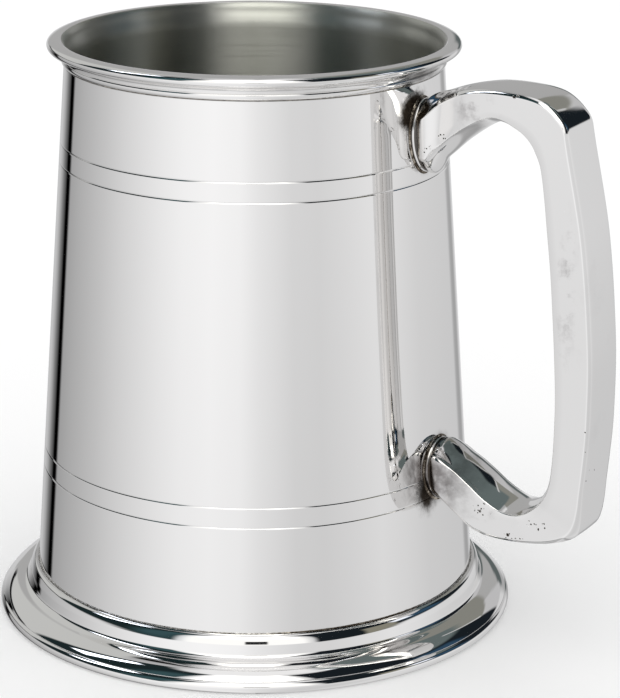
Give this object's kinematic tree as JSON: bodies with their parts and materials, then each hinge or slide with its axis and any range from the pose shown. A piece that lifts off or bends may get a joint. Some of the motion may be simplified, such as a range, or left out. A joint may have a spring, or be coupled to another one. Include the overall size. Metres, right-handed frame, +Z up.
{
  "type": "pewter tankard",
  "caption": "Lidless straight-tapered pewter pint tankard with a flared lip, turned line pairs, a spreading moulded foot and an angular cast handle on oval roots.",
  "frame": {"origin": "centre of the foot's flat resting ring, on the drum's axis", "axes": "+Z up along the drum's axis, +X from the axis towards the handle"},
  "size_m": [0.135, 0.109, 0.121],
  "materials": {
    "polished_pewter": "mirror polished outside, satin turned inside the drum",
    "cast_pewter": "polished casting with fine pits and hairline scratches",
    "satin_pewter": "satin, turned in fine rings",
    "dark_solder": "tarnished solder with residue"
  },
  "bodies": {
    "root": {"drum_wall": "polished_pewter", "mouth_moulding": "polished_pewter", "mouth_solder_seam": "dark_solder", "foot_moulding": "polished_pewter", "foot_solder_seam": "dark_solder", "floor_disc": "satin_pewter", "floor_solder_seam": "dark_solder", "handle_casting": "cast_pewter", "upper_root_plate": "cast_pewter", "lower_root_plate": "cast_pewter", "upper_root_solder": "dark_solder", "lower_root_solder": "dark_solder"}
  },
  "joints": []
}
